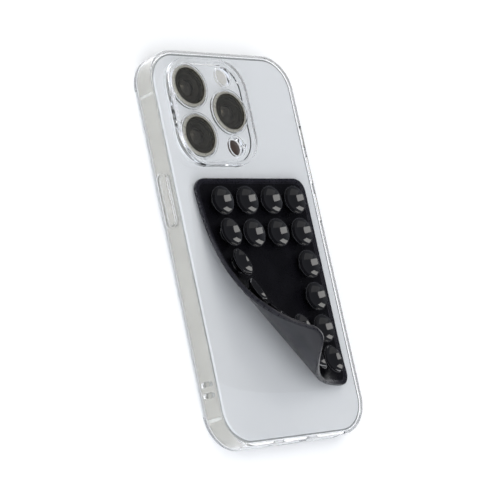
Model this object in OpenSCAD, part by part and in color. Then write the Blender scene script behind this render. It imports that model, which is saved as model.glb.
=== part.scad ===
// Clear phone case with a sheet of suction cups on its back, on a phone.
// The phone lies screen down: the case's front lip is at z = 0, the back and the cups face +Z.
// +Y points to the camera end and +X to the right when the back is looked at.
// The origin is at the middle of the footprint.

/* [Phone] */
// Width of the phone across its side bands
phone_w = 71.5; // [69:0.1:78]
// Length of the phone
phone_l = 147.5; // [141:0.1:160]
// Thickness of the phone without the camera island
phone_t = 8.25; // [7.6:0.05:9]
// Corner radius of the phone in plan
phone_corner_r = 12.4; // [10:0.2:16]
// Rounding of the side band's long edges
band_edge_r = 0.4; // [0.2:0.1:0.5]
// Metal rim left round each glass
glass_rim = 0.8; // [0.7:0.05:2]
// Thickness of the front and back glass
glass_t = 1.1; // [0.8:0.05:1.4]
// How far each glass stands proud of the metal band
glass_proud = 0.25; // [0.1:0.05:0.4]
// Running clearance round pieces that fit in a pocket
fit_gap = 0.1; // [0.05:0.01:0.15]

/* [Camera] */
// Width of the camera island
island_w = 36.4; // [35:0.2:38]
// Length of the camera island
island_l = 38.4; // [36:0.2:40]
// Corner radius of the camera island
island_r = 10.2; // [8:0.2:12]
// Height of the camera island above the back glass
island_h = 1.4; // [0.8:0.1:1.8]
// Centre of the camera island, in from the phone's left side
island_in = 23.95; // [23.4:0.05:26]
// Centre of the camera island, down from the phone's camera end
island_down = 23.65; // [23.2:0.05:26]
// Outer radius of a lens ring
ring_r = 8.15; // [7.6:0.05:8.5]
// Height of a lens ring above the island
ring_h = 2.45; // [1.8:0.05:3]
// Radius of a lens window
window_r = 7.1; // [6.6:0.05:7.3]
// Thickness of a lens window
window_t = 0.8; // [0.5:0.1:1]
// Centre of the upper lens, from the island's centre
upper_from = [-9.1, 9.8];
// Centre of the lower lens, from the island's centre
lower_from = [-9.1, -9.4];
// Centre of the inner lens, from the island's centre
inner_from = [8.8, 0.2];
// Centre of the flash, from the island's centre
flash_from = [9.4, 14.2];
// Centre of the rangefinder window, from the island's centre
ranger_from = [8.8, -13.5];
// Centre of the back microphone, from the island's centre
mic_from = [13.8, -13.1];
// Radius of the flash and of the rangefinder window
small_window_r = 3.1; // [2.6:0.1:3.2]

/* [Case] */
// Thickness of the case's side walls
case_wall = 1.05; // [0.9:0.05:1.6]
// Gap between the phone and the case's side walls
case_gap = 0.1; // [0.1:0.05:0.3]
// Thickness of the case's back
case_back_t = 1.1; // [0.9:0.1:1.6]
// Gap between the phone's back and the case
back_gap = 0.15; // [0.1:0.05:0.25]
// Thickness of the lip that holds the phone's front edge
lip_t = 0.8; // [0.6:0.05:1.2]
// Gap between the lip and the screen
lip_gap = 0.1; // [0.05:0.05:0.2]
// How far the lip reaches over the screen
lip_reach = 1.2; // [0.8:0.1:1.8]
// Rounding of the case's back edge
case_edge_r = 1.1; // [0.6:0.1:1.3]
// Rounding of the lip's outer edge
lip_edge_r = 0.5; // [0.3:0.1:0.6]
// Height of the plate over the camera island, above the case's back
plate_h = 1.5; // [1:0.1:2]
// Height of the guard ridge round that plate, above the case's back
guard_h = 3; // [2.4:0.1:3.4]
// Width of the guard ridge
guard_w = 1.7; // [1.4:0.1:1.7]
// Rounding of the guard ridge's outer edge
guard_edge_r = 0.6; // [0.3:0.1:0.9]
// Width of the collar round each hole in that plate
collar_w = 0.6; // [0.4:0.1:0.6]
// Height of those collars above the plate
collar_h = 0.7; // [0.3:0.1:1]
// Clearance of a lens ring in its hole in the case
lens_hole_gap = 0.4; // [0.3:0.05:0.5]
// Clearance of the flash and rangefinder in their holes in the case
small_hole_gap = 0.55; // [0.3:0.05:0.7]

/* [Buttons] */
// Length of the side button
side_button_l = 18.4; // [14:0.2:20]
// Length of a volume button
volume_button_l = 10.6; // [8:0.2:12]
// Width of a button across the band
button_w = 2.9; // [2.4:0.1:3.4]
// How far a button stands out of the band
button_out = 0.45; // [0.3:0.05:0.6]
// Travel of a button
button_travel = 0.25; // [0.15:0.05:0.3]
// Centre of the side button, down from the phone's camera end
side_button_down = 55.75; // [50:0.25:60]
// Centre of the upper volume button, down from the phone's camera end
volume_up_down = 44.75; // [44:0.25:45]
// Centre of the lower volume button, down from the phone's camera end
volume_down_down = 59.75; // [59.25:0.25:62]
// Centre of the silent switch, down from the phone's camera end
switch_down = 31.25; // [28:0.25:31.5]
// Travel of the silent switch
switch_travel = 1.1; // [0.8:0.1:1.4]
// How far the case's button cover is raised
cover_out = 0.5; // [0.3:0.1:0.8]
// Width of the case's button cover
cover_w = 4.4; // [4:0.1:5]
// Width of the groove round a button cover
cover_groove = 1; // [0.6:0.1:1.2]

/* [Ends] */
// Width of the charging port
port_w = 9; // [8.6:0.1:9.4]
// Height of the charging port
port_h = 3.2; // [3:0.1:3.4]
// Depth of the charging port
port_depth = 7.5; // [6:0.5:9]
// Holes on each side of the port
speaker_holes = 6; // [3:1:6]
// Pitch of the speaker holes
speaker_pitch = 2.4; // [2.2:0.1:2.6]
// Radius of a speaker hole
speaker_hole_r = 0.75; // [0.5:0.05:0.9]
// Distance of the innermost speaker hole from the middle
speaker_start = 12.6; // [12:0.2:13.4]
// Distance of each end screw from the middle
screw_x = 8.9; // [7.6:0.1:9.4]
// Radius of an end screw's head
screw_r = 0.8; // [0.6:0.05:0.9]
// Distance of the upper antenna bands from the phone's camera end
antenna_upper = 15.7; // [14:0.1:18]
// Distance of the lower antenna bands from the phone's other end
antenna_lower = 10.4; // [9.8:0.1:18]
// Width of an antenna band
antenna_w = 1.1; // [0.8:0.1:1.6]
// Width of a strap hole along the case
strap_hole_w = 2; // [1.6:0.1:2.4]
// Height of a strap hole across the side
strap_hole_h = 4.6; // [3.6:0.1:5]
// Spacing of the two strap holes
strap_pitch = 4; // [3.8:0.1:5]
// Place of the strap holes, up from the phone's lower end
strap_up = 21.25; // [20:0.25:27]

/* [Suction mat] */
// Width of the mat
mat_w = 57.2; // [54:0.2:58]
// Length of the mat
mat_l = 81.6; // [78:0.2:84]
// Corner radius of the mat
mat_r = 5.2; // [4:0.2:7]
// Centre of the mat, across the case
mat_x = 0.4; // [-1:0.1:1]
// Centre of the mat, along the case
mat_y = -16.4; // [-18:0.1:-15]
// Thickness of the mat's sheet
mat_t = 1; // [0.8:0.1:1.4]
// Height of the mat's rim above its sheet
rim_h = 0.5; // [0.3:0.1:0.8]
// Width of the mat's rim
rim_w = 1.5; // [0.8:0.1:2]
// Thickness of the adhesive film under the mat
film_t = 0.2; // [0.1:0.05:0.3]
// How far the film's edge stays inside the mat's edge
film_inset = 0.6; // [0.3:0.1:1.2]
// Direction in which the corner peels away
peel_dir = 219.5; // [214:0.5:225]
// Distance of the peel line from the middle of the case
peel_start = 4.6; // [0:0.2:10]
// Bend at the peel line, degrees per mm
bend_start = 0.785; // [0.6:0.005:0.9]
// Growth of the bend, degrees per mm per mm
bend_growth = 0.059; // [0.05:0.001:0.062]

/* [Suction cups] */
// Columns of cups
cup_cols = 4; // [2:1:4]
// Rows of cups
cup_rows = 6; // [2:1:6]
// Pitch of the cups
cup_pitch = 12.6; // [12.4:0.1:13]
// Radius of a cup's rim
cup_r = 5.5; // [4.6:0.1:5.6]
// Radius of a cup's foot
cup_foot_r = 2.6; // [2.2:0.1:3.2]
// Height of a cup above the sheet
cup_h = 3.2; // [2.4:0.1:3.4]
// Thickness of a cup's lip
cup_lip = 0.35; // [0.3:0.05:0.6]
// Radius of the flat floor inside a cup
cup_floor_r = 1.6; // [1.2:0.1:2.2]
// Thickness of a cup's floor above the sheet
cup_floor_t = 0.9; // [0.6:0.1:1.2]

/* [Hidden] */
$fn = 64;
eps = 0.01;

// Heights, from the lip up
z_screen = lip_t + lip_gap;
z_phone_back = z_screen + phone_t;
z_inside = z_phone_back + back_gap;
z_back = z_inside + case_back_t;
z_island = z_phone_back + island_h;
z_plate = z_back + plate_h;
z_pocket_top = z_plate - case_back_t;
z_guard = z_back + guard_h;
z_ring = z_island + ring_h;
z_band = z_screen + phone_t / 2;
z_window_floor = z_ring - fit_gap - window_t;
z_barrel = z_screen + glass_t + 1.4;

// Plan sizes
case_w = phone_w + 2 * (case_gap + case_wall);
case_l = phone_l + 2 * (case_gap + case_wall);
case_r = phone_corner_r + case_gap + case_wall;
bay_w = phone_w + 2 * case_gap;
bay_l = phone_l + 2 * case_gap;
bay_r = phone_corner_r + case_gap;
glass_w = phone_w - 2 * glass_rim;
glass_l = phone_l - 2 * glass_rim;
glass_r = phone_corner_r - glass_rim;
island_at = [island_in - phone_w / 2, phone_l / 2 - island_down];
lenses = [island_at + upper_from, island_at + lower_from, island_at + inner_from];
flash_at = island_at + flash_from;
ranger_at = island_at + ranger_from;
mic_at = island_at + mic_from;
side_button_y = phone_l / 2 - side_button_down;
volume_up_y = phone_l / 2 - volume_up_down;
volume_down_y = phone_l / 2 - volume_down_down;
switch_y = phone_l / 2 - switch_down;
strap_y = strap_up - phone_l / 2;
neck_r = window_r + 0.5;
barrel_r = window_r - 0.6;
lens_hole_r = ring_r + lens_hole_gap;
small_hole_r = small_window_r + small_hole_gap;

// Buttons: stem depth in the band and the pocket that it slides in
button_stem = 1.2;
pocket_depth = button_stem + button_travel + fit_gap;
switch_l = 5.4;
switch_w = 1.5;

// Small parts in the lower end
mesh_margin = 1.4;
mesh_h = 2.4;
mesh_t = 0.4;
speaker_wall = 2;
speaker_cavity = 1.2;
screw_l = 2.2;
screw_sink = 0.2;
tongue_w = 6.7;
tongue_t = 0.7;
tongue_in = 1.2;
port_block = 1.5;

// Rounded rectangle with true arcs
module round_rect(w, l, r) {
    square([w - 2 * r, l], center = true);
    square([w, l - 2 * r], center = true);
    for (sx = [-1, 1], sy = [-1, 1]) translate([sx * (w / 2 - r), sy * (l / 2 - r)]) circle(r);
}

// Slot with round ends
module slot(w, h) {
    square([w - h, h], center = true);
    for (s = [-1, 1]) translate([s * (w - h) / 2, 0]) circle(d = h);
}

// Half section of a slab's edge, from the corner's axis outwards
module edge_section(r, h, top_r, low_r) {
    translate([0, low_r]) square([r, h - low_r - top_r]);
    translate([0, h / 2]) square([r - top_r, h / 2]);
    square([r - low_r, h / 2]);
    translate([r - top_r, h - top_r]) circle(top_r);
    translate([r - low_r, low_r]) circle(low_r);
}

// Slab with rounded corners and rounded long edges
module slab(w, l, h, r, top_r, low_r) {
    translate([-(w / 2 - r), -(l / 2 - r), 0]) cube([w - 2 * r, l - 2 * r, h]);
    for (q = [0 : 3]) {
        along = q % 2 == 0 ? l : w;
        across = q % 2 == 0 ? w : l;
        rotate([0, 0, 90 * q]) {
            translate([across / 2 - r, 0, 0]) rotate([90, 0, 0])
                linear_extrude(along - 2 * r, center = true) edge_section(r, h, top_r, low_r);
            translate([across / 2 - r, along / 2 - r, 0])
                rotate_extrude(angle = 90) edge_section(r, h, top_r, low_r);
        }
    }
}

// Solid slot that lies across the side wall: length along Y, width along Z, thickness along X
module side_slot(l, w, t) {
    rotate([90, 0, 90]) linear_extrude(t, center = true) slot(l, w);
}

// Solid slot that lies across the end wall
module end_slot(w, h, t) {
    rotate([90, 0, 0]) linear_extrude(t, center = true) slot(w, h);
}

// Cover over a button: a raised pad, hollow behind, in a shallow groove
module cover_pad(s, y, l) {
    translate([s * (case_w / 2 - case_wall / 2 + cover_out / 2), y, z_band])
        side_slot(l + cover_w - button_w, cover_w, case_wall + cover_out);
}

module cover_cut(s, y, l) {
    translate([s * (case_w / 2), y, z_band]) difference() {
        side_slot(l + cover_w - button_w + 2 * cover_groove, cover_w + 2 * cover_groove, 0.6);
        side_slot(l + cover_w - button_w, cover_w, 1);
    }
}

module cover_hollow(s, y, l) {
    reach = button_out + fit_gap;
    translate([s * (phone_w / 2 + reach / 2), y, z_band])
        side_slot(l + 2 * case_gap, button_w + 2 * case_gap, reach);
}

module clear_case() color([0.86, 0.89, 0.91, 0.45]) difference() {
    union() {
        slab(case_w, case_l, z_back, case_r, case_edge_r, lip_edge_r);
        camera_guard();
        for (p = lenses) collar(p, lens_hole_r);
        for (p = [flash_at, ranger_at]) collar(p, small_hole_r);
        cover_pad(-1, side_button_y, side_button_l);
        cover_pad(1, volume_up_y, volume_button_l);
        cover_pad(1, volume_down_y, volume_button_l);
    }
    translate([0, 0, lip_t])
        slab(bay_w, bay_l, z_inside - lip_t, bay_r, band_edge_r, band_edge_r);
    translate([0, 0, -1]) linear_extrude(lip_t + 1 + band_edge_r)
        round_rect(phone_w - 2 * lip_reach, phone_l - 2 * lip_reach, phone_corner_r - lip_reach);
    translate([island_at[0], island_at[1], z_inside - 1]) linear_extrude(z_pocket_top - z_inside + 1)
        round_rect(island_w + 2 * case_gap, island_l + 2 * case_gap, island_r + case_gap);
    for (p = lenses) translate([p[0], p[1], z_inside]) cylinder(r = lens_hole_r, h = z_guard);
    for (p = [flash_at, ranger_at]) translate([p[0], p[1], z_inside])
        cylinder(r = small_hole_r, h = z_guard);
    translate([mic_at[0], mic_at[1], z_inside]) cylinder(r = 0.9, h = z_guard, $fn = 32);
    cover_cut(-1, side_button_y, side_button_l);
    cover_cut(1, volume_up_y, volume_button_l);
    cover_cut(1, volume_down_y, volume_button_l);
    cover_hollow(-1, side_button_y, side_button_l);
    cover_hollow(1, volume_up_y, volume_button_l);
    cover_hollow(1, volume_down_y, volume_button_l);
    translate([case_w / 2, switch_y, z_band]) side_slot(10, 5.4, 4 * case_wall);
    for (s = [-1, 1]) translate([-case_w / 2, strap_y + s * strap_pitch / 2, z_band])
        rotate([0, 90, 0]) linear_extrude(2 * case_wall + 0.2, center = true) slot(strap_hole_h, strap_hole_w);
    translate([0, -case_l / 2, z_band]) end_slot(13.4, 6.4, 4 * case_wall);
    for (s = [-1, 1]) translate([s * speaker_mid, -case_l / 2, z_band])
        end_slot(speaker_span + 3.4, 3.4, 4 * case_wall);
}

speaker_span = (speaker_holes - 1) * speaker_pitch;
speaker_mid = speaker_start + speaker_span / 2;

// Low collar round a hole in the plate over the camera island
module collar(p, r) {
    translate([p[0], p[1], z_pocket_top + case_back_t / 2])
        cylinder(r = r + collar_w, h = case_back_t / 2 + collar_h);
}

// Plate over the camera island, with a guard ridge round it that stands above the lenses
module camera_guard() {
    grow = guard_w;
    root = 0.3;
    translate([island_at[0], island_at[1], 0]) difference() {
        translate([0, 0, z_back - root])
            slab(island_w + 2 * grow, island_l + 2 * grow, guard_h + root, island_r + grow, guard_edge_r, 0.1);
        translate([0, 0, z_plate]) linear_extrude(guard_h)
            round_rect(island_w, island_l, island_r);
    }
}

// The mat lies in the plane of the case's back and curls about lines that run square to
// peel_dir. A point of the flat mat is given by s, its distance past the peel line, and w,
// its place along that line.
peel_n = [cos(peel_dir), sin(peel_dir)];
peel_m = [-sin(peel_dir), cos(peel_dir)];
curl_step = 1.2;
function bend(s) = s <= 0 ? 0 : bend_start * s + bend_growth * s * s / 2;
function curl_steps(s) = max(1, ceil(s / 0.8));
function curl_out(s) = s <= 0 ? s : let (n = curl_steps(s), d = s / n)
    d * sum([for (i = [0 : n - 1]) cos(bend((i + 0.5) * d))]);
function curl_up(s) = s <= 0 ? 0 : let (n = curl_steps(s), d = s / n)
    d * sum([for (i = [0 : n - 1]) sin(bend((i + 0.5) * d))]);
function sum(v, i = 0, t = 0) = i == len(v) ? t : sum(v, i + 1, t + v[i]);
function curled(s, w, h) = let (a = bend(s), o = curl_out(s) - h * sin(a) + peel_start)
    [o * peel_n[0] + w * peel_m[0], o * peel_n[1] + w * peel_m[1], z_back + curl_up(s) + h * cos(a)];

// Interval of w that a line of constant s cuts from the mat's outline, drawn in by inset
function corner_c(sx, sy) = [mat_x + sx * (mat_w / 2 - mat_r), mat_y + sy * (mat_l / 2 - mat_r)];
function along_s(p) = p * peel_n - peel_start;
function along_w(p) = p * peel_m;
s_first = along_s(corner_c(1, 1)) - mat_r;
s_last = along_s(corner_c(-1, -1)) + mat_r;
// Upper and lower limits of w, from the four straight sides and the four corner arcs
function side_cut(s, p, d) = let (
        base = (s + peel_start) * peel_n,
        k = peel_m * d)
    [(p - base) * d / k, k > 0];
function arc_reach(s, c, r, sgn) = let (u = s - along_s(c))
    abs(u) > r ? undef : along_w(c) + sgn * sqrt(max(0, r * r - u * u));
function on_arc(s, w, c, sx, sy) = let (
        q = (s + peel_start) * peel_n + w * peel_m - c)
    q[0] * sx >= -eps && q[1] * sy >= -eps;
function w_limit(s, inset, sgn) = let (
        hw = mat_w / 2 - inset,
        hl = mat_l / 2 - inset,
        r = mat_r - inset,
        arcs = [for (sx = [-1, 1], sy = [-1, 1]) let (c = corner_c(sx, sy), w = arc_reach(s, c, r, sgn))
            if (w != undef && on_arc(s, w, c, sx, sy)) w],
        cuts = [for (d = [[1, 0], [-1, 0], [0, 1], [0, -1]]) let (
            p = [mat_x + d[0] * hw, mat_y + d[1] * hl], c = side_cut(s, p, d))
            if (c[1] == (sgn > 0)) c[0]])
    sgn > 0 ? min(concat(arcs, cuts)) : max(concat(arcs, cuts));

// Lines of constant s at which the sheet is cut: close together where it curls and at its
// two round tips, and far apart where it lies flat
tip_angles = [4, 12, 22, 34, 48];
function sheet_lines(inset) = let (
        r = mat_r - inset,
        a = along_s(corner_c(1, 1)),
        c = along_s(corner_c(-1, -1)),
        first = ceil((along_s(corner_c(-1, 1)) - mat_r) / curl_step),
        last = floor((c + r * 0.5) / curl_step))
    concat(
        [for (t = tip_angles) a - r * cos(t)],
        [for (i = [min(first, 0) : last]) i * curl_step],
        [for (i = [len(tip_angles) - 1 : -1 : 0]) c + r * cos(tip_angles[i])]);

// Sheet between the heights h0 and h1 over the mat's outline, drawn in by inset
module curled_sheet(h0, h1, inset) {
    lines = sheet_lines(inset);
    n = len(lines);
    points = [for (s = lines) let (a = w_limit(s, inset, -1), b = w_limit(s, inset, 1))
        each [curled(s, a, h0), curled(s, b, h0), curled(s, b, h1), curled(s, a, h1)]];
    ribs = [for (i = [0 : n - 2], k = [0 : 3]) let (
            p = 4 * i + k, q = 4 * i + (k + 1) % 4)
        each (k % 2 == 0 ? [[p, p + 4, q + 4, q]] : [[p, p + 4, q], [q, p + 4, q + 4]])];
    ends = [[0, 1, 2, 3], [4 * n - 1, 4 * n - 2, 4 * n - 3, 4 * n - 4]];
    polyhedron(points, concat(ribs, ends));
}

// Places of the cups: the four in the middle are left out for the bare round place
function has_cup(i, j) = !(abs(i - (cup_cols - 1) / 2) < 1 && abs(j - (cup_rows - 1) / 2) < 1);
cup_places = [for (j = [0 : cup_rows - 1], i = [0 : cup_cols - 1]) if (has_cup(i, j))
    [mat_x + (i - (cup_cols - 1) / 2) * cup_pitch, mat_y + ((cup_rows - 1) / 2 - j) * cup_pitch]];

// Puts a child on the sheet at a place of the flat mat, square to the sheet there
module on_sheet(p, h) {
    s = along_s(p);
    translate(curled(s, along_w(p), h)) rotate([0, 0, peel_dir]) rotate([0, -bend(s), 0]) children();
}

// One cup: a flared bowl on a short foot. It is turned so that its seam isn't in line with the
// sheet's steepest slope.
module cup() {
    root = 0.45;
    wall = cup_lip;
    seam = 67;
    rotate([0, 0, seam]) rotate_extrude($fn = 40) polygon([
        [0, -root], [cup_foot_r, -root], [cup_foot_r, 0.35],
        [cup_foot_r + 0.35, 0.9], [cup_foot_r + (cup_r - cup_foot_r) * 0.62, cup_h * 0.58],
        [cup_r, cup_h - 0.12], [cup_r - 0.05, cup_h], [cup_r - wall, cup_h],
        [cup_r - wall - 0.45, cup_h - 0.55], [cup_r - wall - 1.5, cup_h * 0.5],
        [cup_floor_r + 0.5, cup_floor_t + 0.12], [cup_floor_r, cup_floor_t], [0, cup_floor_t]]);
}

module suction_mat() color([0.09, 0.09, 0.1]) {
    floor_h = film_t + mat_t;
    difference() {
        curled_sheet(film_t, floor_h + rim_h, 0);
        curled_sheet(floor_h, floor_h + rim_h + 1, rim_w);
    }
    for (p = cup_places) on_sheet(p, floor_h) cup();
}

module adhesive_film() color([0.24, 0.24, 0.26]) curled_sheet(0, film_t, film_inset);

// Phone
module phone_frame() color([0.76, 0.74, 0.7]) difference() {
    translate([0, 0, z_screen + glass_proud])
        slab(phone_w, phone_l, phone_t - 2 * glass_proud, phone_corner_r, band_edge_r, band_edge_r);
    for (z = [z_screen, z_phone_back - glass_t]) translate([0, 0, z]) linear_extrude(glass_t)
        round_rect(glass_w + 2 * fit_gap, glass_l + 2 * fit_gap, glass_r + fit_gap);
    translate([0, 0, z_screen + glass_t - eps]) linear_extrude(0.7)
        round_rect(glass_w - 3 + fit_gap, glass_l - 3 + fit_gap, glass_r - 1.5);
    for (p = lenses) translate([p[0], p[1], z_barrel]) cylinder(r = barrel_r + fit_gap, h = phone_t);
    for (p = [flash_at, ranger_at]) translate([p[0], p[1], z_phone_back - 2])
        cylinder(r = small_window_r + fit_gap, h = phone_t);
    button_pocket(-1, side_button_y, side_button_l);
    button_pocket(1, volume_up_y, volume_button_l);
    button_pocket(1, volume_down_y, volume_button_l);
    translate([phone_w / 2, switch_y, z_band])
        rotate([90, 0, 90]) linear_extrude(2 * pocket_depth, center = true)
            round_rect(switch_l + 2 * fit_gap, switch_w + switch_travel + 2 * fit_gap, switch_w / 2 + fit_gap);
    translate([0, -phone_l / 2, z_band]) end_slot(port_w, port_h, 2 * port_depth);
    for (s = [-1, 1]) {
        translate([s * screw_x, -phone_l / 2, z_band]) rotate([90, 0, 0])
            cylinder(r = screw_r + fit_gap, h = 2 * (screw_l + screw_sink + fit_gap), center = true);
        for (i = [0 : speaker_holes - 1])
            translate([s * (speaker_start + i * speaker_pitch), -phone_l / 2 - 1, z_band])
                rotate([-90, 0, 0]) cylinder(r = speaker_hole_r, h = speaker_wall + 1.5, $fn = 24);
        translate([s * speaker_mid, -phone_l / 2 + speaker_wall + speaker_cavity / 2, z_band]) cube([
            speaker_span + 2 * (mesh_margin + fit_gap), speaker_cavity, mesh_h + 2 * fit_gap], center = true);
    }
    antenna_bars(antenna_w, 0.7);
}

module button_pocket(s, y, l) {
    translate([s * phone_w / 2, y, z_band])
        side_slot(l + 2 * fit_gap, button_w + 2 * fit_gap, 2 * pocket_depth);
}

// Insulating bands across the side band near the corners, and one in each end
module antenna_bars(w, t) {
    high = phone_t - 2 * glass_proud - 2 * band_edge_r - 0.2;
    for (s = [-1, 1], y = [phone_l / 2 - antenna_upper, antenna_lower - phone_l / 2])
        translate([s * (phone_w / 2 - t / 2), y, z_band]) cube([t, w, high], center = true);
    for (p = [[1, antenna_upper], [-1, antenna_lower]])
        translate([p[0] * (phone_w / 2 - p[1]), p[0] * (phone_l / 2 - t / 2), z_band])
            cube([w, t, high], center = true);
}

module antenna_bands() color([0.66, 0.65, 0.62]) intersection() {
    antenna_bars(antenna_w - 0.02, 0.7);
    linear_extrude(z_back) round_rect(phone_w, phone_l, phone_corner_r);
}

module back_glass() color([0.82, 0.83, 0.84]) difference() {
    union() {
        translate([0, 0, z_phone_back - glass_t])
            slab(glass_w, glass_l, glass_t, glass_r, 0.45, 0.1);
        translate([island_at[0], island_at[1], z_phone_back - 0.4])
            slab(island_w, island_l, island_h + 0.4, island_r, 0.5, 0.1);
    }
    for (p = lenses) translate([p[0], p[1], 0]) cylinder(r = neck_r + fit_gap, h = z_ring);
    for (p = [flash_at, ranger_at]) translate([p[0], p[1], 0])
        cylinder(r = small_window_r + fit_gap, h = z_ring);
    translate([mic_at[0], mic_at[1], z_phone_back - glass_t / 2]) cylinder(r = 0.5, h = 3, $fn = 24);
}

module front_glass() color([0.05, 0.05, 0.06]) difference() {
    translate([0, 0, z_screen]) slab(glass_w, glass_l, glass_t, glass_r, 0.1, 0.45);
    translate([0, glass_l / 2 - 1.6, z_screen - 1]) linear_extrude(glass_t / 2 + 1) slot(12, 0.9);
}

module display_panel() color([0.03, 0.03, 0.04]) translate([0, 0, z_screen + glass_t])
    linear_extrude(0.6) round_rect(glass_w - 3, glass_l - 3, glass_r - 1.6);

module lens_ring(p) color([0.7, 0.69, 0.66]) translate([p[0], p[1], 0]) rotate_extrude() difference() {
    union() {
        translate([0, z_island]) square([ring_r, ring_h - 0.5]);
        translate([0, z_island]) square([ring_r - 0.5, ring_h]);
        translate([ring_r - 0.5, z_ring - 0.5]) circle(0.5, $fn = 32);
        translate([0, z_island - 1.2]) square([neck_r, 1.3]);
    }
    translate([-1, z_window_floor]) square([window_r + 0.05 + 1, ring_h]);
    translate([-1, 0]) square([barrel_r + fit_gap + 1, z_ring]);
}

module lens_ring_upper() lens_ring(lenses[0]);
module lens_ring_lower() lens_ring(lenses[1]);
module lens_ring_inner() lens_ring(lenses[2]);

module lens_window(p) color([0.2, 0.2, 0.19, 0.5]) translate([p[0], p[1], z_window_floor])
    cylinder(r = window_r, h = window_t);

module lens_window_upper() lens_window(lenses[0]);
module lens_window_lower() lens_window(lenses[1]);
module lens_window_inner() lens_window(lenses[2]);

// Barrel with a stepped mouth under the window
barrel_top = z_window_floor - 0.25;
element_r = 3.1;
module barrel(p) color([0.06, 0.06, 0.07]) translate([p[0], p[1], 0]) rotate_extrude() polygon([
    [0, z_barrel], [barrel_r, z_barrel], [barrel_r, barrel_top], [barrel_r - 0.7, barrel_top],
    [barrel_r - 0.9, barrel_top - 0.3], [barrel_r - 1.6, barrel_top - 0.3],
    [element_r + 0.5, barrel_top - 1.3], [element_r + fit_gap, barrel_top - 1.3],
    [element_r + fit_gap, barrel_top - 2], [0, barrel_top - 2]]);

module barrel_upper() barrel(lenses[0]);
module barrel_lower() barrel(lenses[1]);
module barrel_inner() barrel(lenses[2]);

// Domed first lens in each barrel
module front_elements() color([0.1, 0.11, 0.16]) for (p = lenses)
    translate([p[0], p[1], barrel_top - 2]) {
        dome_r = 6;
        rotate_extrude() intersection() {
            square([element_r, 2]);
            translate([0, 1.3 - dome_r]) circle(dome_r, $fn = 96);
        }
    }

module flash_lens() color([0.95, 0.93, 0.85]) translate([flash_at[0], flash_at[1], z_island - 1.2])
    cylinder(r = small_window_r, h = 1.2);

module rangefinder_window() color([0.16, 0.1, 0.09])
    translate([ranger_at[0], ranger_at[1], z_island - 1.2]) cylinder(r = small_window_r, h = 1.2);

// Button: a cap that stands out of the band, on a stem that slides in its pocket
module button(s, y, l) {
    t = button_stem + button_out;
    translate([s * (phone_w / 2 + button_out - t / 2), y, z_band]) side_slot(l, button_w, t);
}

module side_button() color([0.74, 0.73, 0.7]) button(-1, side_button_y, side_button_l);
module volume_up_button() color([0.74, 0.73, 0.7]) button(1, volume_up_y, volume_button_l);
module volume_down_button() color([0.74, 0.73, 0.7]) button(1, volume_down_y, volume_button_l);

module silent_switch() color([0.74, 0.73, 0.7])
    translate([phone_w / 2 + 0.5 - 0.85, switch_y, z_band - switch_travel / 2])
        side_slot(switch_l, switch_w, 1.7);

// Port: a contact tongue on a block at the port's inner end
module charging_port() color([0.35, 0.35, 0.37]) translate([0, -phone_l / 2 + port_depth, z_band]) {
    translate([0, -port_block / 2, 0]) end_slot(port_w - 2 * fit_gap, port_h - 2 * fit_gap, port_block);
    translate([-tongue_w / 2, -port_depth + tongue_in, -tongue_t / 2])
        cube([tongue_w, port_depth - tongue_in - port_block / 2, tongue_t]);
}

module end_screws() color([0.6, 0.6, 0.6]) for (s = [-1, 1])
    translate([s * screw_x, -phone_l / 2 + screw_sink, z_band]) rotate([-90, 0, 0]) difference() {
        cylinder(r = screw_r, h = screw_l);
        translate([0, 0, -0.1]) cylinder(r = 0.35, h = 0.6, $fn = 5);
    }

module speaker_mesh() color([0.15, 0.15, 0.16]) for (s = [-1, 1])
    translate([s * speaker_mid, -phone_l / 2 + speaker_wall + fit_gap + mesh_t / 2, z_band])
        cube([speaker_span + 2 * mesh_margin, mesh_t, mesh_h], center = true);

clear_case();
suction_mat();
adhesive_film();
phone_frame();
antenna_bands();
back_glass();
front_glass();
display_panel();
lens_ring_upper();
lens_ring_lower();
lens_ring_inner();
lens_window_upper();
lens_window_lower();
lens_window_inner();
barrel_upper();
barrel_lower();
barrel_inner();
front_elements();
flash_lens();
rangefinder_window();
side_button();
volume_up_button();
volume_down_button();
silent_switch();
charging_port();
end_screws();
speaker_mesh();
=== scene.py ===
import math

import bmesh
import bpy
import numpy as np
from mathutils import Matrix, Vector


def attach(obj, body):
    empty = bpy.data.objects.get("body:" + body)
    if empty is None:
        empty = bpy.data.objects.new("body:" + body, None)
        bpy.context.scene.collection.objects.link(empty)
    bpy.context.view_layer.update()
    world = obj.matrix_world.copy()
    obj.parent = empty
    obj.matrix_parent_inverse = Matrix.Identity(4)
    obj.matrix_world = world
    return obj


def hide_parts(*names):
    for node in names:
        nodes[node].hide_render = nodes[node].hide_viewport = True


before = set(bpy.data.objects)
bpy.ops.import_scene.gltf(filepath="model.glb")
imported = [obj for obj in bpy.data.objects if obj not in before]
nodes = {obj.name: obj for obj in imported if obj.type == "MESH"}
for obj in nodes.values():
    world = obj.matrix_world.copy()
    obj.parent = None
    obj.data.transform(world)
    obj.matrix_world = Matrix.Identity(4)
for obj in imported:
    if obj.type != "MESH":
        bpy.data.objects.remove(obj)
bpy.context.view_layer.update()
scene = bpy.context.scene
scene.view_settings.view_transform = "Standard"
scene.cycles.max_bounces = 24
scene.cycles.glossy_bounces = 12
scene.cycles.transmission_bounces = 16
scene.cycles.transparent_max_bounces = 16
MM = 0.001
BODY = "phone_in_case"

# The camera, fitted to the photograph.
CAMERA_AT = (-0.494870, -0.129660, 0.493471)
CAMERA_RIGHT = (0.714117, -0.208822, 0.668155)
CAMERA_UP = (0.023154, 0.960994, 0.275597)
CAMERA_BACK = (-0.699643, -0.181338, 0.691098)
FOCAL_LENGTH = 136.252
SENSOR_WIDTH = 36

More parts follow.
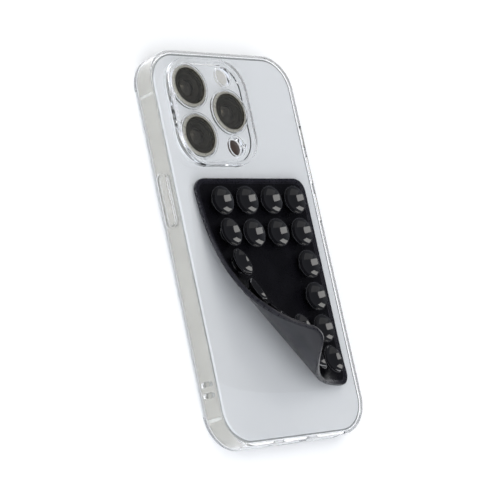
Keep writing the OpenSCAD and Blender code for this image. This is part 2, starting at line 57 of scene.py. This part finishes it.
# The mat and its curl, in millimetres and degrees, as in the part's source.
Z_BACK = 10.4
PEEL_DIR = math.radians(219.5)
PEEL_START = 4.6
BEND_START = 0.785
BEND_GROWTH = 0.059
MAT_W, MAT_L, MAT_R = 57.2, 81.6, 5.2
MAT_X, MAT_Y = 0.4, -16.4
MAT_T, RIM_H, RIM_W = 1.0, 0.5, 1.5
FILM_T, FILM_INSET = 0.2, 0.6
CUP_PITCH, CUP_R, CUP_FOOT, CUP_H = 12.6, 5.5, 2.6, 3.2
CUP_COLUMNS, CUP_ROWS = 4, 6

# How finely the mat is meshed: the step between the lines across it, where lines meet its corners
# at both tips (degrees round the corner), and the sides of a cup.
LINE_STEP = 0.7
TIP_ANGLES = (4, 10, 17, 25, 34, 44)
CUP_SIDES = 56
CURL_REACH, CURL_STEPS = 70, 7001

# The roundings of the mat's section: its outer edge, the rim's inner edge, the rim's inner foot
# and the edge underneath.
EDGE_ROUND, RIM_ROUND, RIM_FOOT_ROUND, UNDER_ROUND = 0.3, 0.2, 0.25, 0.2

# A cup's section, in (radius, height) above the sheet. Below FOOT_H it follows the bent sheet and
# sinks into it, and the faces in LIP_BAND at the top are the lip.
LIP_START = (CUP_R - 0.14, CUP_H - 0.28)
LIP_END = (CUP_R - 0.45, CUP_H - 0.2)
BOWL_FLOOR = 0.92
FOOT_H = 0.14
FOOT_SINK = 0.02
LIP_BAND = 0.13

# The floor, in metres, and the light. Glow and lamp levels are radiance, where 1 is white.
FLOOR_HALF = 3.0
GLOW_FROM, GLOW_FULL, FAR_GLOW = 0.35, 1.6, 0.9
GLOW_THROUGH_GLASS = 0.22
WARM = (1.0, 0.985, 0.955)


def placed(x, y, z, at):
    """The matrix that turns an object's axes along x, y and z and moves its origin to at."""
    return Matrix((
        (x[0], y[0], z[0], at[0]),
        (x[1], y[1], z[1], at[1]),
        (x[2], y[2], z[2], at[2]),
        (0, 0, 0, 1)))


def add_object(name, data):
    o = bpy.data.objects.new(name, data)
    scene.collection.objects.link(o)
    return o


def add_camera():
    data = bpy.data.cameras.new("camera")
    data.lens = FOCAL_LENGTH
    data.sensor_width = SENSOR_WIDTH
    data.clip_start = 0.01
    data.clip_end = 20
    scene.camera = add_object("camera", data)
    scene.camera.matrix_world = placed(CAMERA_RIGHT, CAMERA_UP, CAMERA_BACK, CAMERA_AT)


class Tree:
    """Short ways to add and wire the nodes of a material or the world."""

    def __init__(self, tree):
        self.t = tree

    def node(self, kind, **values):
        """A node with its settings and inputs by name. In an input's name, _ stands for a space."""
        n = self.t.nodes.new("ShaderNode" + kind)
        for k, v in values.items():
            if k.replace("_", " ") in n.inputs:
                n.inputs[k.replace("_", " ")].default_value = v
            else:
                setattr(n, k, v)
        return n

    def link(self, a, b):
        self.t.links.new(a, b)

    def calc(self, operation, a, b):
        """a and b, an output each or b a plain number, put through a Math node."""
        n = self.node("Math", operation=operation)
        self.link(a, n.inputs[0])
        if isinstance(b, float):
            n.inputs[1].default_value = b
        else:
            self.link(b, n.inputs[1])
        return n.outputs[0]

    def map_range(self, value, span, to, how="LINEAR"):
        """value's span mapped to the two numbers in to, and held beyond them."""
        n = self.node("MapRange", interpolation_type=how, From_Min=span[0], From_Max=span[1],
                      To_Min=to[0], To_Max=to[1])
        self.link(value, n.inputs["Value"])
        return n.outputs["Result"]

    def mix(self, factor, a, b):
        """A colour from a to b by factor. a and b are an output or a colour each."""
        n = self.node("Mix", data_type="RGBA")
        self.link(factor, n.inputs["Factor"])
        for k, v in (("A", a), ("B", b)):
            if isinstance(v, tuple):
                n.inputs[k].default_value = (*v, 1)
            else:
                self.link(v, n.inputs[k])
        return n.outputs["Result"]


class Mat(Tree):
    """A Principled material. Its noises lie in the object's own space, which is in metres."""

    def __init__(self, name, color, rough, metallic=0.0, ior=1.5, **more):
        self.m = bpy.data.materials.new(name)
        self.m.use_nodes = True
        super().__init__(self.m.node_tree)
        self.b = self.t.nodes["Principled BSDF"]
        self.out = self.t.nodes["Material Output"]
        self.b.inputs["Base Color"].default_value = (*color, 1)
        self.b.inputs["Roughness"].default_value = rough
        self.b.inputs["Metallic"].default_value = metallic
        self.b.inputs["IOR"].default_value = ior
        for k, v in more.items():
            self.b.inputs[k.replace("_", " ")].default_value = v

    def coords(self, scale=(1, 1, 1)):
        mapping = self.node("Mapping", Scale=scale)
        self.link(self.node("TexCoord").outputs["Object"], mapping.inputs["Vector"])
        return mapping.outputs["Vector"]

    def noise(self, scale, detail=3, stretch=(1, 1, 1)):
        n = self.node("TexNoise", Scale=scale, Detail=detail, Roughness=0.5)
        self.link(self.coords(stretch), n.inputs["Vector"])
        return n.outputs["Fac"]

    def colour(self, fac, low, high):
        """Base colour by fac: low and high are (place, colour)."""
        r = self.node("ValToRGB")
        for e, (place, colour) in zip(r.color_ramp.elements, (low, high)):
            e.position, e.color = place, (*colour, 1)
        self.link(fac, r.inputs["Fac"])
        self.link(r.outputs["Color"], self.b.inputs["Base Color"])

    def rough(self, fac, low, high):
        self.link(self.map_range(fac, (0.3, 0.7), (low, high)), self.b.inputs["Roughness"])

    def bump(self, fac, strength, distance):
        n = self.node("Bump", Strength=strength, Distance=distance)
        self.link(fac, n.inputs["Height"])
        self.link(n.outputs["Normal"], self.b.inputs["Normal"])

    def see_through_for_light(self, color):
        """Light that falls on what lies behind passes as through a tinted skin, unbent."""
        path = self.node("LightPath").outputs
        clear = self.node("BsdfTransparent", Color=(*color, 1))
        mix = self.node("MixShader")
        self.link(self.calc("MAXIMUM", path["Is Shadow Ray"], path["Is Diffuse Ray"]),
                  mix.inputs["Fac"])
        self.link(self.b.outputs["BSDF"], mix.inputs[1])
        self.link(clear.outputs["BSDF"], mix.inputs[2])
        self.link(mix.outputs["Shader"], self.out.inputs["Surface"])


def shade(o, *materials):
    if o.data.materials:
        o.data.materials.clear()
    for m in materials:
        o.data.materials.append(m)


# The curl: N is the direction in which the mat is peeled, and M runs along the bend lines.
N = np.array([math.cos(PEEL_DIR), math.sin(PEEL_DIR)])
M = np.array([-math.sin(PEEL_DIR), math.cos(PEEL_DIR)])
S_TABLE = np.linspace(0, CURL_REACH, CURL_STEPS)
A_TABLE = np.radians(BEND_START * S_TABLE + BEND_GROWTH * S_TABLE ** 2 / 2)


def running_sum(values):
    """The integral of values along S_TABLE, by trapezia."""
    return np.concatenate([[0], np.cumsum((values[1:] + values[:-1]) / 2 * S_TABLE[1])])


O_TABLE = running_sum(np.cos(A_TABLE))
U_TABLE = running_sum(np.sin(A_TABLE))


def bend(s):
    """The sheet's angle at the distance s past the peel line."""
    return np.where(s > 0, np.radians(BEND_START * s + BEND_GROWTH * s * s / 2), 0.0)


def curl_out(s):
    return np.where(s > 0, np.interp(s, S_TABLE, O_TABLE), s)


def curl_up(s):
    return np.where(s > 0, np.interp(s, S_TABLE, U_TABLE), 0.0)


def curled(p, h):
    """Flat mat points p (n, 2) at height h above the case's back, put on the curl."""
    p = np.atleast_2d(p)
    s = p @ N - PEEL_START
    w = p @ M
    a = bend(s)
    o = curl_out(s) - h * np.sin(a) + PEEL_START
    xy = o[:, None] * N + w[:, None] * M
    return np.column_stack([xy, Z_BACK + curl_up(s) + h * np.cos(a)])


def corner_c(sx, sy):
    """The centre of the mat's rounded corner on the sides sx and sy (1 or -1)."""
    return np.array([MAT_X + sx * (MAT_W / 2 - MAT_R), MAT_Y + sy * (MAT_L / 2 - MAT_R)])


def ring_at(s, inset):
    """The two places where the line at s meets the outline drawn in by inset, each with the
    outline's outward normal there."""
    hits = []
    r = MAT_R - inset
    for sx in (1, -1):
        for sy in (1, -1):
            c = corner_c(sx, sy)
            u = s - (c @ N - PEEL_START)
            if abs(u) < r:
                for sgn in (1, -1):
                    q = u * N + sgn * math.sqrt(r * r - u * u) * M
                    if q[0] * sx >= -1e-6 and q[1] * sy >= -1e-6:
                        hits.append((c + q, q / r))
    for d in ((1, 0), (-1, 0), (0, 1), (0, -1)):
        d = np.array(d, float)
        half = (MAT_W if d[0] else MAT_L) / 2 - inset
        base = (s + PEEL_START) * N
        centre = np.array([MAT_X, MAT_Y])
        p = base + M * ((centre + d * half - base) @ d / (M @ d))
        rel = p - centre
        other = abs(rel[1] if d[0] else rel[0])
        limit = ((MAT_L if d[0] else MAT_W) / 2) - MAT_R
        if other <= limit + 1e-6:
            hits.append((p, d))
    hits.sort(key=lambda h: h[0] @ M)
    return hits[0], hits[-1]


def sheet_lines(inset):
    """The lines across the mat, as distances from the peel line, from one tip to the other."""
    r = MAT_R - inset
    a = corner_c(1, 1) @ N - PEEL_START
    c = corner_c(-1, -1) @ N - PEEL_START
    from_tip = [r * math.cos(math.radians(t)) for t in TIP_ANGLES]
    lo, hi = a - from_tip[-1], c + from_tip[-1]
    n = int((hi - lo) / LINE_STEP)
    return ([a - x for x in from_tip[:-1]] + list(np.linspace(lo, hi, n + 1))
            + [c + x for x in from_tip[-2::-1]])


def build_sheet(name, profile_top, profile_low, rim=False):
    """A sheet over the mat's outline. The profiles go from the outer edge inwards as (inset,
    height) pairs, and the last pair of each is the field that is filled. A rim's faces take the
    fourth material."""
    field = profile_top[-1][0]
    lines = sheet_lines(field)
    left, right = zip(*(ring_at(s, field) for s in lines))
    loop = left + right[::-1]
    n = len(loop)
    base = np.array([p for p, _ in loop])
    normal = np.array([d for _, d in loop])
    rows = profile_low[::-1] + profile_top
    verts = np.concatenate([curled(base + normal * (field - i), h) for i, h in rows]) * MM
    faces = []
    for r in range(len(rows) - 1):
        for k in range(n):
            a, b = r * n + k, r * n + (k + 1) % n
            faces.append((a, b, b + n, a + n))
    rim_faces = len(faces) if rim else 0
    top = (len(rows) - 1) * n
    for i in range(len(lines) - 1):
        j = n - 1 - i
        across = (top + i, top + i + 1, top + j - 1, top + j)
        faces.append(across if i + 1 < j - 1 else (top + i, top + i + 1, top + j))
        faces.append((j, j - 1, i + 1, i))
    me = bpy.data.meshes.new(name)
    me.from_pydata([tuple(v) for v in verts], [], [f for f in faces if len(set(f)) == len(f)])
    for k in range(rim_faces):
        me.polygons[k].material_index = 3
    me.validate()
    me.update()
    bm = bmesh.new()
    bm.from_mesh(me)
    bmesh.ops.recalc_face_normals(bm, faces=bm.faces)
    bm.to_mesh(me)
    bm.free()
    return add_object(name, me)


def arc(cx, cz, r, a0, a1, n):
    return [(cx + r * math.cos(math.radians(a)), cz + r * math.sin(math.radians(a)))
            for a in np.linspace(a0, a1, n)]


def smooth_path(points, per):
    """Catmull-Rom through points, per steps a span."""
    p = [np.array(q, float) for q in points]
    p = [2 * p[0] - p[1]] + p + [2 * p[-1] - p[-2]]
    out = []
    for i in range(1, len(p) - 2):
        for t in np.linspace(0, 1, per, endpoint=False):
            a, b, c, d = p[i - 1], p[i], p[i + 1], p[i + 2]
            out.append(0.5 * (2 * b + (c - a) * t + (2 * a - 5 * b + 4 * c - d) * t * t
                              + (3 * b - a - 3 * c + d) * t ** 3))
    out.append(p[-2])
    return [tuple(q) for q in out]


def cup_profile():
    """From the foot on the sheet, up the outside, over the lip and down to the bowl's middle."""
    outside = smooth_path([
        (CUP_FOOT + 0.75, 0.0), (CUP_FOOT + 0.22, 0.14), (CUP_FOOT + 0.05, 0.45),
        (CUP_FOOT + 0.4, 0.92), (CUP_FOOT + 1.2, 1.42), (CUP_FOOT + 2.0, 2.05), LIP_START], 4)
    lip = smooth_path([
        LIP_START, (CUP_R - 0.01, CUP_H - 0.08), (CUP_R - 0.08, CUP_H),
        (CUP_R - 0.26, CUP_H - 0.03), LIP_END], 3)
    edge_r, edge_h = LIP_END
    deep = edge_h - BOWL_FLOOR
    big = (edge_r ** 2 + deep ** 2) / (2 * deep)
    bowl = [(big * math.sin(a), BOWL_FLOOR + big * (1 - math.cos(a)))
            for a in np.linspace(math.asin(edge_r / big), 0, 22)]
    return outside[:-1] + lip[:-1] + bowl


def cup_places():
    """The flat places of the cups: a grid without its four middle ones."""
    for j in range(CUP_ROWS):
        for i in range(CUP_COLUMNS):
            x, y = i - (CUP_COLUMNS - 1) / 2, (CUP_ROWS - 1) / 2 - j
            if abs(x) >= 1 or abs(y) >= 1:
                yield np.array([MAT_X + x * CUP_PITCH, MAT_Y + y * CUP_PITCH])


def add_cups(o, floor_h):
    """Joins the twenty cups to the sheet's mesh, each one square to the sheet where it stands.
    They take the second material, and their thin lips the third."""
    bm = bmesh.new()
    bm.from_mesh(o.data)
    prof = cup_profile()
    part_of = [2 if (a[1] + b[1]) / 2 > CUP_H - LIP_BAND else 1 for a, b in zip(prof, prof[1:])]
    for p in cup_places():
        a = float(bend(np.array(float(p @ N - PEEL_START))))
        origin = curled(p, floor_h)[0]
        n3 = np.array([N[0] * math.cos(a), N[1] * math.cos(a), math.sin(a)])
        m3 = np.array([M[0], M[1], 0])
        u3 = np.array([-N[0] * math.sin(a), -N[1] * math.sin(a), math.cos(a)])
        rings = []
        for r, h in prof[:-1]:
            ring = []
            for q in range(CUP_SIDES):
                t = 2 * math.pi * q / CUP_SIDES
                along, beside = r * math.cos(t), r * math.sin(t)
                if h < FOOT_H:
                    pt = curled(p + N * along + M * beside, floor_h + h - FOOT_SINK)[0]
                else:
                    pt = origin + (n3 * along + m3 * beside) + u3 * h
                ring.append(bm.verts.new(tuple(pt * MM)))
            rings.append(ring)
        rings.append([bm.verts.new(tuple((origin + u3 * prof[-1][1]) * MM))] * CUP_SIDES)
        for k, (low, high) in enumerate(zip(rings, rings[1:])):
            for q in range(CUP_SIDES):
                w = (q + 1) % CUP_SIDES
                around = (low[q], low[w], high[w], high[q])
                if k == len(rings) - 2:
                    around = (low[q], low[w], high[0])
                bm.faces.new(around).material_index = part_of[k]
    for f in bm.faces:
        f.smooth = True
    bm.to_mesh(o.data)
    bm.free()


def silicone(name, rough, specular, tone=1.0, ior=1.5):
    """Black silicone: satin on the sheet and its rim, glossy on the cups. tone scales its colour,
    and the rim's higher tone is painted light.
    """
    m = Mat(name, (0.004, 0.004, 0.005), rough=rough, ior=ior, Specular_IOR_Level=specular)
    low = np.array((0.0032, 0.0031, 0.0045)) * tone
    high = np.array((0.0055, 0.0053, 0.0072)) * tone
    m.colour(m.noise(140, 4), (0.35, low), (0.7, high))
    m.rough(m.noise(900), rough * 0.7, rough * 1.3)
    m.bump(m.noise(2500, 2), 0.06, 0.00004)
    return m.m


def thin_lip():
    """The cups' thin lips are painted greyer than the sheet: painted light that stands in for the
    little light their thin silicone lets through.
    """
    m = Mat("silicone_lip", (0.03, 0.03, 0.034), rough=0.25, ior=1.41)
    # Painted light: the lip's colour is lighter than the rest of the silicone.
    m.colour(m.noise(500), (0.3, (0.016, 0.016, 0.018)), (0.7, (0.027, 0.027, 0.031)))
    m.rough(m.noise(900), 0.18, 0.32)
    return m.m


def film_material():
    m = Mat("film_grey", (0.05, 0.05, 0.055), rough=0.42, ior=1.48)
    m.colour(m.noise(60), (0.3, (0.015, 0.0152, 0.019)), (0.7, (0.021, 0.0213, 0.026)))
    m.rough(m.noise(260, 4), 0.36, 0.5)
    m.bump(m.noise(1800), 0.2, 0.00005)
    return m.m


def clear_plastic():
    """The case's plastic. Its index is below the real one, about 1.5, for fewer dark lines."""
    m = Mat("clear_plastic", (1.0, 1.0, 1.0), rough=0.02, ior=1.38, Transmission_Weight=1.0)
    m.rough(m.noise(300), 0.0, 0.015)
    m.see_through_for_light((0.925, 0.935, 0.945))
    return m.m


def metal(name, color, rough, grain=(1, 1, 40)):
    m = Mat(name, color, rough=rough, metallic=1.0)
    c = np.array(color)
    m.colour(m.noise(120), (0.3, c * 0.95), (0.7, np.minimum(c * 1.04, 1)))
    m.rough(m.noise(800, stretch=grain), rough * 0.8, rough * 1.25)
    m.bump(m.noise(2600, 2, grain), 0.1, 0.00004)
    return m.m


def plastic(name, color, rough, scale=300, bump=0.15):
    m = Mat(name, color, rough=rough)
    c = np.array(color)
    m.colour(m.noise(scale), (0.3, c * 0.9), (0.7, np.minimum(c * 1.08, 1)))
    m.rough(m.noise(scale * 2.2), rough * 0.85, rough * 1.15)
    m.bump(m.noise(scale * 9, 2), bump, 0.00004)
    return m.m


def frosted_glass():
    m = Mat("frosted_white_glass", (0.62, 0.66, 0.68), rough=0.38,
            Coat_Weight=0.1, Coat_Roughness=0.2)
    m.colour(m.noise(14, 2), (0.3, (0.705, 0.702, 0.690)), (0.7, (0.735, 0.730, 0.715)))
    m.rough(m.noise(500), 0.34, 0.44)
    m.bump(m.noise(9000, 2), 0.08, 0.00002)
    return m.m


def window_glass():
    """Dark lens glass: see-through, with the gloss of a coated lens."""
    m = Mat("lens_glass", (0.62, 0.59, 0.53), rough=0.0, Transmission_Weight=1.0)
    m.rough(m.noise(200, 2), 0.0, 0.012)
    m.see_through_for_light((0.62, 0.61, 0.58))
    return m.m


def element_glass():
    m = Mat("lens_element", (0.05, 0.048, 0.045), rough=0.08, ior=1.6)
    m.colour(m.noise(220, 2), (0.3, (0.022, 0.021, 0.022)), (0.7, (0.032, 0.030, 0.030)))
    return m.m


def screen_black(name, rough):
    m = Mat(name, (0.012, 0.012, 0.014), rough=rough)
    m.colour(m.noise(40, 2), (0.3, (0.010, 0.010, 0.012)), (0.7, (0.014, 0.014, 0.017)))
    m.rough(m.noise(700), rough * 0.6, rough * 1.4)
    return m.m


def lens_ring_metal(top):
    """Bright on the ring's face, which is at the height top, and darker down its outer wall: the
    darkening is painted shade.
    """
    m = Mat("ring_metal", (0.47, 0.455, 0.395), rough=0.3, metallic=0.4)
    where = m.node("SeparateXYZ")
    m.link(m.coords(), where.inputs["Vector"])
    # Painted shade: the ring's colour grows darker below its face, down the outer wall.
    near_face = m.map_range(where.outputs["Z"], (top - 0.9 * MM, top - 0.3 * MM), (0.0, 1.0))
    m.colour(near_face, (0.0, (0.24, 0.235, 0.215)), (1.0, (0.44, 0.425, 0.37)))
    m.rough(m.noise(900), 0.24, 0.36)
    return m.m


def add_floor():
    """A white floor. Far out it glows, so that it stays white for what is seen directly, in gloss
    and through glass. Near the object it glows a little through glass only."""
    me = bpy.data.meshes.new("floor")
    s = FLOOR_HALF
    me.from_pydata([(-s, -s, 0), (s, -s, 0), (s, s, 0), (-s, s, 0)], [], [(0, 1, 2, 3)])
    floor = add_object("floor", me)
    m = Mat("floor_white", (0.98, 0.97, 0.95), rough=0.9, Specular_IOR_Level=0.0)
    m.colour(m.noise(3, 2), (0.3, (0.975, 0.970, 0.958)), (0.7, (0.985, 0.980, 0.968)))
    path = m.node("LightPath").outputs
    seen = m.calc("MAXIMUM", path["Is Camera Ray"], path["Is Glossy Ray"])
    seen = m.calc("MAXIMUM", seen, path["Is Transmission Ray"])
    far = m.node("VectorMath", operation="LENGTH")
    m.link(m.node("TexCoord").outputs["Object"], far.inputs[0])
    glow = m.map_range(far.outputs["Value"], (GLOW_FROM, GLOW_FULL), (0.0, FAR_GLOW), "SMOOTHSTEP")
    strength = m.calc("MAXIMUM", m.calc("MULTIPLY", glow, seen),
                      m.calc("MULTIPLY", path["Is Transmission Ray"], GLOW_THROUGH_GLASS))
    m.b.inputs["Emission Color"].default_value = (1, 1, 1, 1)
    m.link(strength, m.b.inputs["Emission Strength"])
    shade(floor, m.m)


def add_area(name, at, across, size, level):
    """A soft box that faces the object. across is the direction of its width, and level its
    radiance."""
    data = bpy.data.lights.new(name, "AREA")
    data.shape = "RECTANGLE"
    data.size, data.size_y = size
    data.energy = level * math.pi * size[0] * size[1]
    data.color = WARM
    o = add_object(name, data)
    o.visible_camera = False
    z = Vector(at).normalized()
    x = Vector(across)
    x = (x - z * x.dot(z)).normalized()
    o.matrix_world = placed(x, z.cross(x), z, at)
    return o


def light_world():
    """A fill for matt surfaces that is weak from most sides and strong from the lower left. Gloss
    sees a dim studio, for the black cups. What is seen directly is white, and what is seen through
    glass is nearly white."""
    scene.world = bpy.data.worlds.new("world")
    scene.world.use_nodes = True
    w = Tree(scene.world.node_tree)
    path = w.node("LightPath").outputs
    around = w.node("TexCoord").outputs["Generated"]

    def facing(direction, span):
        dot = w.node("VectorMath", operation="DOT_PRODUCT")
        dot.inputs[1].default_value = direction
        w.link(around, dot.inputs[0])
        return w.map_range(dot.outputs["Value"], span, (0.0, 1.0), "SMOOTHSTEP")

    studio = w.mix(facing((0.74, 0.18, 0.64), (-0.25, 0.75)),
                   (0.22, 0.235, 0.26), (0.075, 0.078, 0.088))
    fill = w.mix(facing((-0.73, -0.61, 0.31), (0.0, 0.95)),
                 (0.14, 0.147, 0.16), (2.0, 2.07, 2.22))
    light = w.mix(path["Is Diffuse Ray"], studio, fill)
    light = w.mix(path["Is Transmission Ray"], light, (0.80, 0.86, 0.95))
    light = w.mix(path["Is Camera Ray"], light, (1.0, 1.0, 1.0))
    background = w.t.nodes["Background"]
    background.inputs["Strength"].default_value = 1.0
    w.link(light, background.inputs["Color"])


add_camera()

# The sheet and the film, which stand for the CAD's coarser ones.
floor_h = FILM_T + MAT_T
rim_top = floor_h + RIM_H
field_in = RIM_W + 0.5
top_profile = (
    arc(EDGE_ROUND, rim_top - EDGE_ROUND, EDGE_ROUND, 180, 90, 5)
    + [(RIM_W - 0.22, rim_top)]
    + arc(RIM_W - RIM_ROUND, rim_top - RIM_ROUND, RIM_ROUND, 80, 0, 4)
    + arc(RIM_W + RIM_FOOT_ROUND, floor_h + RIM_FOOT_ROUND, RIM_FOOT_ROUND, 180, 270, 4)
    + [(field_in, floor_h)])
low_profile = (arc(UNDER_ROUND, FILM_T + UNDER_ROUND, UNDER_ROUND, 180, 270, 4)
               + [(field_in, FILM_T)])
mat = build_sheet("mat_sheet", top_profile, low_profile, rim=True)
add_cups(mat, floor_h)
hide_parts("suction_mat")
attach(mat, BODY)

film_top = [(FILM_INSET, FILM_T - 0.02), (FILM_INSET + 0.3, FILM_T - 0.01)]
film_low = [(FILM_INSET, 0.03), (FILM_INSET + 0.04, 0.0), (FILM_INSET + 0.3, 0.0)]
film = build_sheet("film_sheet", film_top, film_low)
for poly in film.data.polygons:
    poly.use_smooth = True
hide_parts("adhesive_film")
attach(film, BODY)

# Materials.
# The rim's silicone is painted about three times lighter than the sheet's: painted light along the
# rim.
shade(mat, silicone("silicone_sheet", 0.32, 0.3, 1.1),
      silicone("silicone_bowl", 0.07, 1.0, ior=1.75), thin_lip(),
      silicone("silicone_rim", 0.3, 0.45, 3.2))
shade(film, film_material())
shade(nodes["clear_case"], clear_plastic())
shade(nodes["phone_frame"], metal("steel_band", (0.430, 0.428, 0.402), 0.22, (1, 1, 30)))
shade(nodes["antenna_bands"], plastic("band_plastic", (0.60, 0.59, 0.55), 0.5))
shade(nodes["back_glass"], frosted_glass())
shade(nodes["front_glass"], screen_black("front_glass_black", 0.06))
shade(nodes["display_panel"], screen_black("display_black", 0.2))
ring_metal = lens_ring_metal(max(v.co.z for v in nodes["lens_ring_upper"].data.vertices))
window = window_glass()
barrel_black = plastic("barrel_black", (0.015, 0.0135, 0.011), 0.55, 500)
for k in ("upper", "lower", "inner"):
    shade(nodes["lens_ring_" + k], ring_metal)
    shade(nodes["lens_window_" + k], window)
    shade(nodes["barrel_" + k], barrel_black)
shade(nodes["front_elements"], element_glass())
shade(nodes["flash_lens"], plastic("flash_diffuser", (0.53, 0.52, 0.485), 0.3, 1500, 0.3))
shade(nodes["rangefinder_window"],
      plastic("rangefinder_brown", (0.060, 0.043, 0.036), 0.12, 400, 0.02))
button_metal = metal("button_metal", (0.455, 0.452, 0.427), 0.26, (1, 30, 1))
for k in ("side_button", "volume_up_button", "volume_down_button", "silent_switch"):
    shade(nodes[k], button_metal)
shade(nodes["charging_port"], metal("port_metal", (0.30, 0.30, 0.31), 0.35))
shade(nodes["end_screws"], metal("screw_metal", (0.5, 0.5, 0.5), 0.25))
shade(nodes["speaker_mesh"], plastic("mesh_black", (0.02, 0.02, 0.02), 0.6, 4000, 0.6))

# The floor and the light.
add_floor()
light_world()
add_area("key_box", (-0.284, -0.060, 0.852), (-0.95, -0.09, -0.30), (0.63, 0.60), 1.30)
add_area("far_box", (0.190, 0.800, 0.475), (0.898, 0.067, -0.436), (0.49, 0.45), 1.3)
top_box = add_area("top_box", (0.06, 0.66, 1.36), (1, 0, 0), (0.56, 0.56), 3.75)
top_box.visible_glossy = False
add_area("low_box", (0.36, -0.52, 0.71), (0.92, 0.14, -0.37), (1.1, 0.5), 0.13)

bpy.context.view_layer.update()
